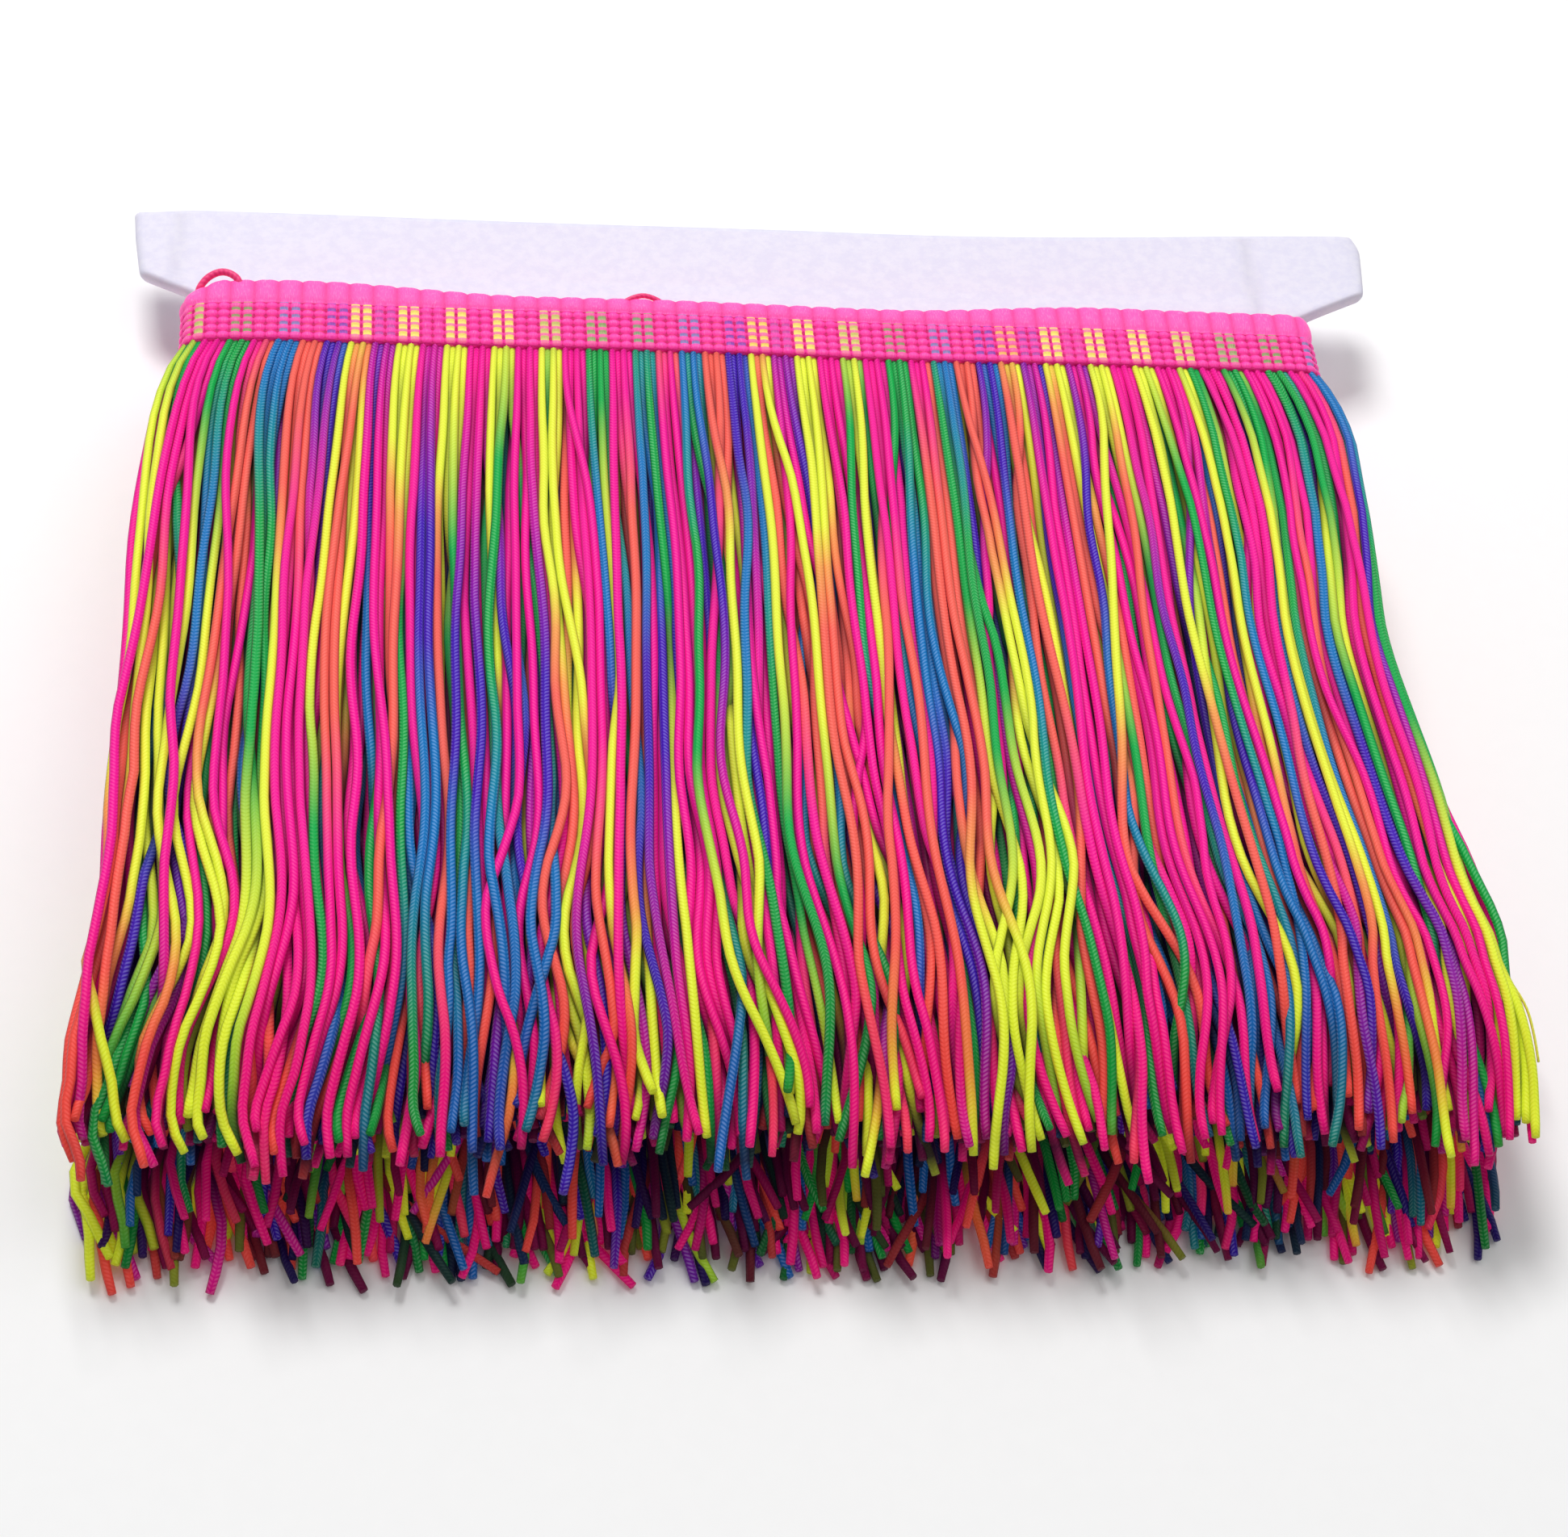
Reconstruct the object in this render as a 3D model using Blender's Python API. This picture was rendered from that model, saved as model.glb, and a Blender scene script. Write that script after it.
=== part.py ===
"""Roll of cut cord fringe: a woven heading wound flat round the neck of a white board.

Metres, +Z up. The roll lies on its back on the plane Z = 0. X runs along the roll, the
cords lie towards -Y, and the head of the board sticks out towards +Y. The origin is at the
middle of the selvage's underside.
"""

import math
import random

import bmesh
import bpy
from mathutils import Vector

# The trim, as it is woven
FRINGE_WIDTH = 0.164
HEADING_WIDTH = 0.012
TAPE_THICKNESS = 0.0013
SELVAGE_WIDTH = 0.0034
SELVAGE_RISE = 0.0003
EDGE_ROUND = 0.0005
RIB_COUNT = 4
RIB_DEPTH = 0.0003

# The roll: 7 turns take 2.7 m of trim
ROLL_LENGTH = 0.197
TURNS = 7
TURN_PITCH = 0.0019
CLEARANCE = 0.0003
ARC_STEPS = 6
LOOSE_END_ANGLE = 55

# The board inside
BOARD_THICKNESS = 0.003
BOARD_END_STEPS = 4
BOARD_SHIFT = 0.005
BOARD_HEAD_HALF = 0.1135
BOARD_HEAD_DROOP = 0.0012
BOARD_ROWS = (
    # (distance past the heading's finished edge, share of the way from the neck to the head)
    (-0.070, 0.0),
    (0.001, 0.0),
    (0.0135, 0.93),
    (0.0155, 1.0),
    (0.033, 1.0),
)

# The fringe: locks of cords, which hang from a narrow strip under some turns of the tape
STRIP_WIDTH = 0.002
LOCK_SHARE = 0.74
ROOT_SIZE = 0.97
TIP_SIZE = 0.72
SHORTEST_CUT = 0.007
TOP_DRAW_UP = 0.007
STRIPS = (
    # (node name, first turn, last turn, locks, steps in a lock's length)
    ("fringe_outer_turns", 5, 6, 100, 5),
    ("fringe_middle_turns", 3, 4, 72, 4),
    ("fringe_inner_turns", 0, 2, 56, 3),
)

# How the cords lie, as shifts at their tips
DRIFT = -0.003
DRIFT_BY_SIDE = 0.011
DRIFT_BY_SIDE_SQUARED = 0.002
WAVE = 0.0016
WAVE_ALONG = 0.085
WAVE_ACROSS = 0.070
SETTLE = 0.10
LOOSENESS = 0.08
SEED = 7

# Worked out from the sizes above
BOARD_HALF = BOARD_THICKNESS / 2
FIRST_INNER_RADIUS = BOARD_HALF + CLEARANCE
FIRST_RADIUS = FIRST_INNER_RADIUS + TAPE_THICKNESS / 2
HALF_THICKNESS = FIRST_RADIUS + (TURNS - 1) * TURN_PITCH + TAPE_THICKNESS / 2 + SELVAGE_RISE
END_CENTRE_X = ROLL_LENGTH / 2 - HALF_THICKNESS
FINISHED_EDGE_Y = SELVAGE_WIDTH / 2
STRIP_TOP_Y = FINISHED_EDGE_Y - HEADING_WIDTH - CLEARANCE
STRIP_BOTTOM_Y = STRIP_TOP_Y - STRIP_WIDTH
CORD_DROP = FRINGE_WIDTH - HEADING_WIDTH - CLEARANCE - STRIP_WIDTH

PINK = (1.0, 0.05, 0.31, 1.0)
DEEP_PINK = (1.0, 0.01, 0.30, 1.0)
LEMON = (0.75, 0.95, 0.01, 1.0)
BLUE = (0.0, 0.16, 0.50, 1.0)
WHITE = (0.83, 0.80, 0.93, 1.0)


def clear_scene():
    for found in list(bpy.data.objects):
        bpy.data.objects.remove(found)


def new_collection(name):
    made = bpy.data.collections.new(name)
    bpy.context.scene.collection.children.link(made)
    return made


def plain_material(name, color, roughness):
    material = bpy.data.materials.new(name)
    material.use_nodes = True
    shader = material.node_tree.nodes["Principled BSDF"]
    shader.inputs["Base Color"].default_value = color
    shader.inputs["Roughness"].default_value = roughness
    shader.inputs["Metallic"].default_value = 0.0
    return material


def add_mesh(name, bm, material, collection):
    mesh = bpy.data.meshes.new(name)
    bm.to_mesh(mesh)
    bm.free()
    mesh.materials.append(material)
    collection.objects.link(bpy.data.objects.new(name, mesh))


def mapped_grid(u_cells, v_cells, place):
    """A closed surface from a grid whose vertex (u, v), counted in cells, goes to place(u, v).

    Seams are merged and open ends are filled.
    """
    bm = bmesh.new()
    bmesh.ops.create_grid(bm, x_segments=u_cells, y_segments=v_cells, size=0.5)
    for vert in bm.verts:
        u = round((vert.co.x + 0.5) * u_cells)
        v = round((vert.co.y + 0.5) * v_cells)
        vert.co = place(u, v)
    bmesh.ops.remove_doubles(bm, verts=bm.verts, dist=1e-6)
    bmesh.ops.holes_fill(bm, edges=bm.edges)
    bmesh.ops.recalc_face_normals(bm, faces=bm.faces)
    return bm


def outward_at(angle):
    """The unit vector in X and Z at this angle, in degrees up from +X."""
    return Vector((math.cos(math.radians(angle)), 0, math.sin(math.radians(angle))))


# Heading tape


def spiral_stations():
    """Points of the wound tape's middle line, each with its outward direction, in X and Z.

    A turn's two straight runs have one height, and the half circle at the left end carries
    the tape out to the next turn.
    """
    left = Vector((-END_CENTRE_X, 0, 0))
    right = Vector((END_CENTRE_X, 0, 0))
    stations = [(left + outward_at(90) * FIRST_RADIUS, outward_at(90))]
    for turn in range(TURNS):
        radius = FIRST_RADIUS + turn * TURN_PITCH
        last = turn == TURNS - 1
        left_sweep = LOOSE_END_ANGLE if last else 180
        growth = 0 if last else TURN_PITCH
        for step in range(ARC_STEPS + 1):
            outward = outward_at(90 - 180 * step / ARC_STEPS)
            stations.append((right + outward * radius, outward))
        for step in range(ARC_STEPS + 1):
            share = step / ARC_STEPS
            outward = outward_at(-90 - left_sweep * share)
            stations.append((left + outward * (radius + growth * share), outward))
    return stations


def tape_profile():
    """(height off the middle line, distance from the finished edge) round the tape's section.

    The selvage is a raised band, and the rest of the outer face has ribs.
    """
    outer = TAPE_THICKNESS / 2
    rib_pitch = (HEADING_WIDTH - SELVAGE_WIDTH) / RIB_COUNT
    points = [(outer + SELVAGE_RISE, -EDGE_ROUND), (outer + SELVAGE_RISE, EDGE_ROUND - SELVAGE_WIDTH)]
    for rib in range(RIB_COUNT):
        start = -SELVAGE_WIDTH - rib * rib_pitch
        points.append((outer - RIB_DEPTH, start))
        points.append((outer, start - rib_pitch / 2))
    points += [(outer - RIB_DEPTH, -HEADING_WIDTH), (-outer, -HEADING_WIDTH), (-outer, 0.0), (0.0, 0.0)]
    return points


def make_heading_tape(collection):
    stations = spiral_stations()
    profile = tape_profile()

    def place(u, v):
        point, outward = stations[u]
        height, y = profile[v % len(profile)]
        return point + outward * height + Vector((0, FINISHED_EDGE_Y + y, HALF_THICKNESS))

    bm = mapped_grid(len(stations) - 1, len(profile), place)
    add_mesh("heading_tape", bm, plain_material("woven pink heading", PINK, 0.75), collection)


# Board


def make_board(collection):
    """A flat board with round ends: its neck lies in the roll, and its wide head sticks out."""
    neck_half = END_CENTRE_X + BOARD_HALF
    per_end = BOARD_END_STEPS + 1

    def place(u, v):
        past_edge, spread = BOARD_ROWS[v]
        y = FINISHED_EDGE_Y + past_edge
        end, step = divmod(u % (2 * per_end), per_end)
        outward = outward_at(90 - 180 * (step / BOARD_END_STEPS + end))
        side = 1 if end == 0 else -1
        half_width = neck_half + (BOARD_HEAD_HALF - neck_half) * spread
        x = side * (half_width - BOARD_HALF) + BOARD_SHIFT * spread
        return Vector((x, y, HALF_THICKNESS - BOARD_HEAD_DROOP * spread)) + outward * BOARD_HALF

    bm = mapped_grid(2 * per_end, len(BOARD_ROWS) - 1, place)
    add_mesh("winding_board", bm, plain_material("white foam board", WHITE, 0.6), collection)


# Fringe


def oval_point(distance, radius):
    """The point this far along a turn's oval of this radius, and its outward direction.

    The oval starts at the left end of its upper run and goes round by the right end.
    """
    run = 2 * END_CENTRE_X
    half_circle = math.pi * radius
    end, past = divmod(distance % (2 * (run + half_circle)), run + half_circle)
    side = 1 if end == 0 else -1
    along = min(past, run) - END_CENTRE_X
    outward = outward_at(90 * side - math.degrees(max(past - run, 0) / radius))
    return Vector((side * along, 0, 0)) + outward * radius, outward


def lie(point, share):
    """Where a point of a straight lock comes to lie, share of the way from root to tip.

    The locks fan out, run in slow waves that neighbours share, and settle a little.
    """
    side = point.x / (ROLL_LENGTH / 2)
    fan = DRIFT + DRIFT_BY_SIDE * side + DRIFT_BY_SIDE_SQUARED * side * side
    phase = 2 * math.pi * (point.y / WAVE_ALONG + point.x / WAVE_ACROSS)
    shift = fan * share**1.3 + WAVE * share * math.sin(phase)
    return Vector((point.x + shift, point.y, point.z * (1 - SETTLE * share**1.5)))


def draw_out_lock(bm, face, steps, drop, sway):
    """Draws a cell's lower face out to a lock, step by step, each smaller than the last.

    A lock that starts on the resting plane keeps its under side on it.
    """
    root = face.calc_center_median()
    lowest = min(vert.co.z for vert in face.verts)
    on_plane = lowest < CLEARANCE
    centre, size = root, 1.0
    for step in range(1, steps + 1):
        share = step / steps
        next_size = ROOT_SIZE + (TIP_SIZE - ROOT_SIZE) * share
        target = lie(root + Vector((0, -drop, 0)) * share + sway * share, share)
        if on_plane:
            target.z = (root.z - lowest) * next_size
        face = bmesh.ops.extrude_discrete_faces(bm, faces=[face])["faces"][0]
        for vert in face.verts:
            vert.co = target + (vert.co - centre) * (next_size / size)
        centre, size = target, next_size


def make_fringe(name, first_turn, last_turn, lock_count, steps, material, collection):
    """A narrow oval strip under the tape's turns, from first to last, with its locks.

    Round the oval the strip's cells are locks and gaps by turns.
    """
    chance = random.Random(SEED + first_turn)
    inner = FIRST_INNER_RADIUS + first_turn * TURN_PITCH
    outer = FIRST_INNER_RADIUS + last_turn * TURN_PITCH + TAPE_THICKNESS + SELVAGE_RISE
    middle = (outer + inner) / 2
    pitch = 2 * (2 * END_CENTRE_X + math.pi * middle) / lock_count
    corners = [(outer, STRIP_TOP_Y), (outer, STRIP_BOTTOM_Y), (inner, STRIP_BOTTOM_Y), (inner, STRIP_TOP_Y)]

    def place(u, v):
        lock, past = divmod(u, 2)
        point, outward = oval_point((lock + LOCK_SHARE * past) * pitch, middle)
        radius, y = corners[v % len(corners)]
        return point + outward * (radius - middle) + Vector((0, y, HALF_THICKNESS))

    bm = mapped_grid(2 * lock_count, len(corners), place)
    lower_cells = [(face.calc_center_median(), face) for face in bm.faces if face.normal.y < 0]
    lock_cells = []
    for lock in range(lock_count):
        point, _ = oval_point((lock + LOCK_SHARE / 2) * pitch, middle)
        aim = point + Vector((0, STRIP_BOTTOM_Y, HALF_THICKNESS))
        lock_cells.append(min(lower_cells, key=lambda cell: (cell[0] - aim).length))
    for centre, face in lock_cells:
        drop = CORD_DROP - TOP_DRAW_UP * centre.z / (2 * HALF_THICKNESS)
        drop -= SHORTEST_CUT * chance.random() ** 2
        sway = Vector((chance.uniform(-1, 1), 0, chance.uniform(-1, 1))) * LOOSENESS * pitch / 2
        draw_out_lock(bm, face, steps, drop, sway)
    bmesh.ops.recalc_face_normals(bm, faces=bm.faces)
    add_mesh(name, bm, material, collection)


def main():
    clear_scene()
    roll = new_collection("fringe_roll")
    make_heading_tape(roll)
    make_board(roll)
    finishes = (("pink cords", DEEP_PINK), ("lemon cords", LEMON), ("blue cords", BLUE))
    for strip, (finish, color) in zip(STRIPS, finishes):
        make_fringe(*strip, plain_material(finish, color, 0.6), roll)


main()
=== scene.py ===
import math

import bpy
import numpy as np
from bpy.props import FloatProperty, FloatVectorProperty, IntProperty, PointerProperty
from mathutils import Matrix, Vector


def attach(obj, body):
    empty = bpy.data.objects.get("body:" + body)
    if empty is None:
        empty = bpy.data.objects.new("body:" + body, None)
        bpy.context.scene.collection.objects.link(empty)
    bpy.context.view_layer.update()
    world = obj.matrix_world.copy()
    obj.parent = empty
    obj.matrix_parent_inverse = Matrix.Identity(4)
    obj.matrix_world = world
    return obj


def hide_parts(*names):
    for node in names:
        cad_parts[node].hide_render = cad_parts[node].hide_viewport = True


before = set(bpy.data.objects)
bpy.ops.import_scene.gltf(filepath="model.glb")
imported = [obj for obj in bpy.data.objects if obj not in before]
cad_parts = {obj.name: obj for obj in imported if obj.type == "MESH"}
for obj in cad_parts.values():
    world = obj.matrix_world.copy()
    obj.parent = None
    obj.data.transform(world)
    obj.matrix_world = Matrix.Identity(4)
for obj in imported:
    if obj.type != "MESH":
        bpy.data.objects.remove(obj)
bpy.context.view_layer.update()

bl_info = {
    "name": "Tassel Fringe Roll",
    "version": (1, 0, 0),
    "blender": (4, 5, 0),
    "location": "View3D > Sidebar > Trimmings",
    "description": "Makes a roll of multicolour tassel fringe on its winding board",
    "category": "Object",
}

# The roll, in metres. Its heading is 1.3 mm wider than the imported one, its ends are squarer,
# and the upper part of each end is pulled outwards, over these ranges of X and of Z
ROLL_LENGTH = 0.197
TURNS = 7
TURN_PITCH = 0.0019
HALF_THICKNESS = 0.0148
FIRST_RADIUS = 0.00245
HALF_LENGTH = 0.1002
END_CENTRE_X = ROLL_LENGTH / 2 - HALF_THICKNESS
LOOSE_END_ANGLE = 55
BOARD_EDGE_Y = 0.0017
FINISHED_EDGE_Y = 0.0030
HEADING_WIDTH = 0.0133
LOWER_EDGE_Y = FINISHED_EDGE_Y - HEADING_WIDTH
ARC_SAMPLES = 61
END_SQUARENESS = 9.0
PULL_LEFT = 0.0028
PULL_RIGHT = 0.0012
PULLED_ENDS = (0.084, 0.0985)
PULLED_HEIGHT = (-0.002, 0.011)

# The weave of the heading
GROUP_PITCH = 0.003994
MIDDLE_GROUP = 25.0
SELVAGE_WIDTH = 0.0048
FIRST_ROW = 0.00572
ROW_PITCH = 0.00166
BACK_DEPTH = 0.0006
FACE_HEIGHT = 0.00042

# The dye: where each weft group of one repeat of the tape lies in the yarn's own repeat, for
# the even groups and for the odd groups, and the length of the yarn's repeat along a cord
YARN_CHART = (
    (0.575, 0.65, 0.74, 0.83, 0.89, 0.925, 0.945, 0.97, 1.10, 1.20, 1.24, 1.32, 1.42, 1.48),
    (0.17, 0.24, 0.32, 0.42, 0.455, 0.495, 0.535, 0.575, 0.625, 0.685, 0.75, 0.82, 0.90, 0.96),
)
DYE_DRIFT = 0.0004
DYE_JITTER = 0.022
CORD_REPEAT = 0.56
YARN_SEED = 2001

# Turns inside the pile that carry two cords to a group and not four
HIDDEN_TURNS = 4

# The cords: their lengths below the heading, how far their roots reach into it and under its
# middle, how much further back the tips inside the pile lie than those above and below, and
# how far a cord's closed end stands out
SHORTEST_DROP = 0.12
LONGEST_DROP = 0.1605
ROOT_INSIDE = 0.0012
ROOT_UNDER = 0.0003
HOLLOW_DEPTH = 0.0150
POLE_OUT = 0.0001

# How far the pile spreads: (distance below the mount, to the left, to the right)
PILE_SPREAD = (
    (0.010, 0.1022, 0.1020), (0.022, 0.1043, 0.1027), (0.045, 0.1066, 0.1018),
    (0.066, 0.1068, 0.0999), (0.086, 0.1067, 0.1014), (0.105, 0.1075, 0.1046),
    (0.122, 0.1072, 0.1078), (0.143, 0.1106, 0.1084), (0.154, 0.1112, 0.1072),
    (0.164, 0.1082, 0.1058), (0.175, 0.1070, 0.1048),
)

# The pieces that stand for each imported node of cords: (node, first turn, last turn)
CORD_NODES = (
    ("fringe_inner_turns", 0, 2),
    ("fringe_middle_turns", 3, 4),
    ("fringe_outer_turns", 5, 6),
)
CONTROL_RINGS = 30
SETTLING_ROUNDS = 90

# The cords' finish: its stitches, the strength of its painted glow, and where below the mount its colour
# is deepened by painted reflected light
STITCH_PITCH = 0.00064
PAINTED_NEON_GLOW = 0.20
PAINTED_BOUNCE_FROM = 0.108
PAINTED_BOUNCE_OVER = 0.042

# The board: half its thickness, half its head's width, how far its neck reaches into the roll,
# and how far down the cords keep clear of it
BOARD_HALF = 0.0015
HEAD_HALF_WIDTH = 0.1135
NECK_LENGTH = 0.070
NECK_END_Y = -0.072

# The photograph's camera, from a fit to the even weft bars, the heading and the board
CAMERA_TARGET = (-0.0018, -0.0863, 0.013)
CAMERA_DISTANCE = 0.460
CAMERA_AZIMUTH = 14.43
CAMERA_ELEVATION = 53.86
CAMERA_ROLL = 12.20
CAMERA_FOCAL = 3528
PHOTO_WIDTH = 1942
SENSOR_WIDTH = 36.0


def a_length(name, description, default, low, high):
    """A length that a user can set."""
    return FloatProperty(name=name, description=description, default=default, min=low, max=high,
                         unit="LENGTH", precision=5)


def a_share(name, description, default, high):
    """A share, from nothing up to high, that a user can set."""
    return FloatProperty(name=name, description=description, default=default, min=0.0, max=high,
                         subtype="FACTOR")


def a_colour(name, description, default):
    """A colour that a user can set."""
    return FloatVectorProperty(name=name, description=description, default=default, size=3,
                               min=0, max=1, subtype="COLOR")


class FringeRollSettings(bpy.types.PropertyGroup):
    """The sizes and colours of the roll that a user would change."""

    cord_thickness: a_length("Cord thickness", "Width across one knitted cord", 0.00148, 0.0008, 0.002)
    cord_drop: a_length(
        "Cord drop", "From the heading's lower edge to the tips of the lowest cords", 0.156, 0.12, 0.17)
    draw_up: a_length(
        "Draw up", "How much higher the tips on top of the pile are than the lowest", 0.0095, 0.0, 0.03)
    uneven_cut: a_length("Uneven cut", "How much the cords' lengths differ", 0.0028, 0.0, 0.01)
    waviness: a_share("Waviness", "How much the cords wave from side to side", 1.0, 2.0)
    stray_share: a_share("Stray cords", "Share of the cords that cross their neighbours", 0.05, 0.3)
    seed: IntProperty(
        name="Seed", description="Another number lays the cords another way", default=11, min=0)
    heading_pink: a_colour("Heading pink", "The warp of the heading", (1.0, 0.028, 0.35))
    selvage_pink: a_colour("Selvage pink", "The heading's lighter, thick edge", (1.0, 0.085, 0.43))
    hot_pink: a_colour("Hot pink", "The main colour of the cords", (0.86, 0.003, 0.29))
    coral: a_colour("Coral", "The orange-red length of the dye's repeat", (0.86, 0.120, 0.090))
    lemon: a_colour("Neon yellow", "The yellow length of the dye's repeat", (0.77, 0.84, 0.050))
    green: a_colour("Green", "The green length of the dye's repeat", (0.001, 0.38, 0.065))
    blue: a_colour("Blue", "The blue length of the dye's repeat", (0.0, 0.18, 0.51))
    violet: a_colour("Violet", "The indigo length of the dye's repeat", (0.055, 0.004, 0.45))
    board_white: a_colour("Board white", "The winding board", (0.765, 0.745, 0.870))


# Shader nodes


class Wire:
    """An output socket of a finish's nodes, on which sums are written as Python expressions."""

    def __init__(self, finish, socket):
        self.finish = finish
        self.socket = socket

    def maths(self, operation, *values):
        return self.finish.node("ShaderNodeMath", {"operation": operation}, dict(enumerate(values)))

    def __add__(self, other):
        return self.maths("ADD", self, other)

    def __radd__(self, other):
        return self.maths("ADD", other, self)

    def __sub__(self, other):
        return self.maths("SUBTRACT", self, other)

    def __rsub__(self, other):
        return self.maths("SUBTRACT", other, self)

    def __mul__(self, other):
        return self.maths("MULTIPLY", self, other)

    def __rmul__(self, other):
        return self.maths("MULTIPLY", other, self)

    def __truediv__(self, other):
        return self.maths("DIVIDE", self, other)

    def __pow__(self, other):
        return self.maths("POWER", self, other)

    def __abs__(self):
        return self.maths("ABSOLUTE", self)

    def fract(self):
        return self.maths("FRACT", self)

    def sine(self):
        return self.maths("SINE", self)

    def at_least(self, other):
        return self.maths("MAXIMUM", self, other)

    def at_most(self, other):
        return self.maths("MINIMUM", self, other)

    def limited(self):
        """The value, kept between 0 and 1."""
        return self.at_least(0.0).at_most(1.0)


class Finish:
    """One material, and the one method that adds nodes to it.

    The constants are the shader's own values, named as its sockets are, with _ for a space.
    """

    def __init__(self, name, **constants):
        self.material = bpy.data.materials.new(name)
        self.material.use_nodes = True
        self.tree = self.material.node_tree
        self.tree.nodes.clear()
        output = self.tree.nodes.new("ShaderNodeOutputMaterial")
        self.shader = self.tree.nodes.new("ShaderNodeBsdfPrincipled")
        self.tree.links.new(self.shader.outputs[0], output.inputs[0])
        for key, value in constants.items():
            self.shader.inputs[key.replace("_", " ")].default_value = value

    def node(self, kind, settings=None, values=None, output=0):
        """Adds a node: its settings are set first, then its sockets get values or links."""
        made = self.tree.nodes.new(kind)
        for key, value in (settings or {}).items():
            if key == "stops":
                ramp = made.color_ramp
                for place, colour in value[1:-1]:
                    ramp.elements.new(place)
                for element, (place, colour) in zip(ramp.elements, value):
                    element.position = place
                    element.color = (*colour, 1.0)
            else:
                setattr(made, key, value)
        for key, value in (values or {}).items():
            if isinstance(value, Wire):
                self.tree.links.new(value.socket, made.inputs[key])
            else:
                made.inputs[key].default_value = value
        return Wire(self, made.outputs[output])

    def spot(self):
        """The place on the piece, in metres."""
        return self.node("ShaderNodeTexCoord", output="Object")

    def ramp(self, stops, value):
        """A colour from a row of (place, colour)."""
        return self.node("ShaderNodeValToRGB", {"stops": stops}, {0: value})

    def mix(self, factor, first, second, blend="MIX"):
        """One colour over another, by a factor from 0 to 1."""
        settings = {"data_type": "RGBA", "blend_type": blend, "clamp_factor": True}
        return self.node("ShaderNodeMix", settings, {0: factor, 6: first, 7: second}, 2)

    def number(self, name):
        """A number that the mesh stores at its points."""
        return self.node("ShaderNodeAttribute", {"attribute_name": name}, output="Fac")

    def surface_place(self, uv_map):
        """The piece's own map: its vector, and its two numbers."""
        place = self.node("ShaderNodeUVMap", {"uv_map": uv_map})
        parts = self.node("ShaderNodeSeparateXYZ", None, {0: place})
        return place, parts, Wire(self, parts.socket.node.outputs[1])

    def noise(self, vector, scale, detail=2.0, roughness=0.5):
        values = {"Vector": vector, "Scale": scale, "Detail": detail, "Roughness": roughness}
        return self.node("ShaderNodeTexNoise", None, values)

    def stretched(self, vector, scale):
        """A vector, stretched by a scale for each axis."""
        return self.node("ShaderNodeMapping", {"vector_type": "POINT"}, {0: vector, 3: scale})

    def wear(self, **links):
        """Links the things that change over the surface to the shader."""
        for name, wire in links.items():
            self.tree.links.new(wire.socket, self.shader.inputs[name.replace("_", " ")])
        return self.material

    def relief(self, height, distance, strength=1.0):
        values = {"Height": height, "Distance": distance, "Strength": strength}
        return self.node("ShaderNodeBump", None, values)


def opaque(shade):
    """A colour with its alpha."""
    return (*shade, 1.0)


def dye_stops(settings):
    """The space dyed yarn's colours round one repeat, as (place, colour)."""
    pink, coral, lemon, green, blue, violet = (
        np.array(shade) for shade in (settings.hot_pink, settings.coral, settings.lemon,
                                      settings.green, settings.blue, settings.violet))
    teal = 0.45 * green + 0.55 * blue
    purple = 0.72 * violet + 0.28 * pink
    magenta = 0.30 * violet + 0.70 * pink
    lime = 0.5 * green + 0.5 * lemon
    orange = 0.72 * coral + 0.28 * lemon
    return (
        (0.0, pink), (0.215, pink), (0.262, coral), (0.375, coral), (0.398, orange), (0.415, lemon),
        (0.535, lemon), (0.568, lime), (0.592, green), (0.668, green), (0.700, teal), (0.725, blue),
        (0.768, blue), (0.800, violet), (0.840, violet), (0.872, purple), (0.905, magenta), (0.94, pink),
    )


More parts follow.
